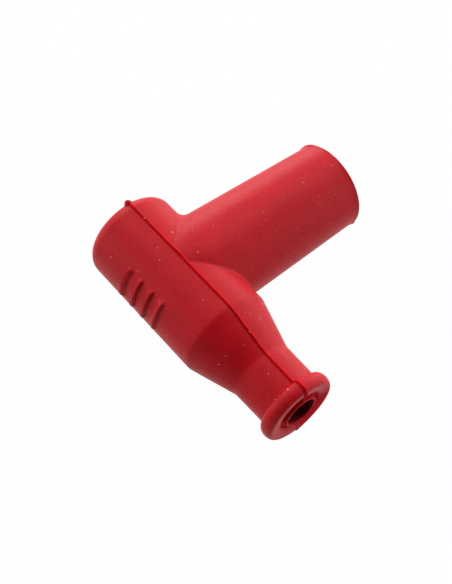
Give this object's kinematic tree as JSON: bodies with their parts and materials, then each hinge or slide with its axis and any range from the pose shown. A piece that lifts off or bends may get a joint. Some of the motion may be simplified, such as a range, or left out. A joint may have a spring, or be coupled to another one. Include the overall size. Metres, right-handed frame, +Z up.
{
  "type": "spark plug cap",
  "caption": "Right-angle rubber spark plug cap: a tapered tube pushes over the plug, and a narrowing body with a rolled lip takes the ignition cable.",
  "frame": {"origin": "on the surface that the cap lies on, under the middle of its box", "axes": "+Z up from that surface, +X along the plug tube towards its open end, +Y along the body towards its closed end"},
  "size_m": [0.0544, 0.057, 0.0223],
  "materials": {
    "red_rubber": "matte",
    "phenolic": "satin",
    "brass": "satin",
    "steel": "satin",
    "ceramic": "matte"
  },
  "bodies": {
    "root": {"rubber_cover": "red_rubber", "insulator_core": "phenolic", "corner_contact": "brass", "cable_screw": "steel", "resistor_body": "ceramic", "resistor_cap_inner": "brass", "resistor_cap_outer": "brass", "contact_spring": "steel", "plug_terminal": "brass", "terminal_clip": "steel"}
  },
  "joints": []
}
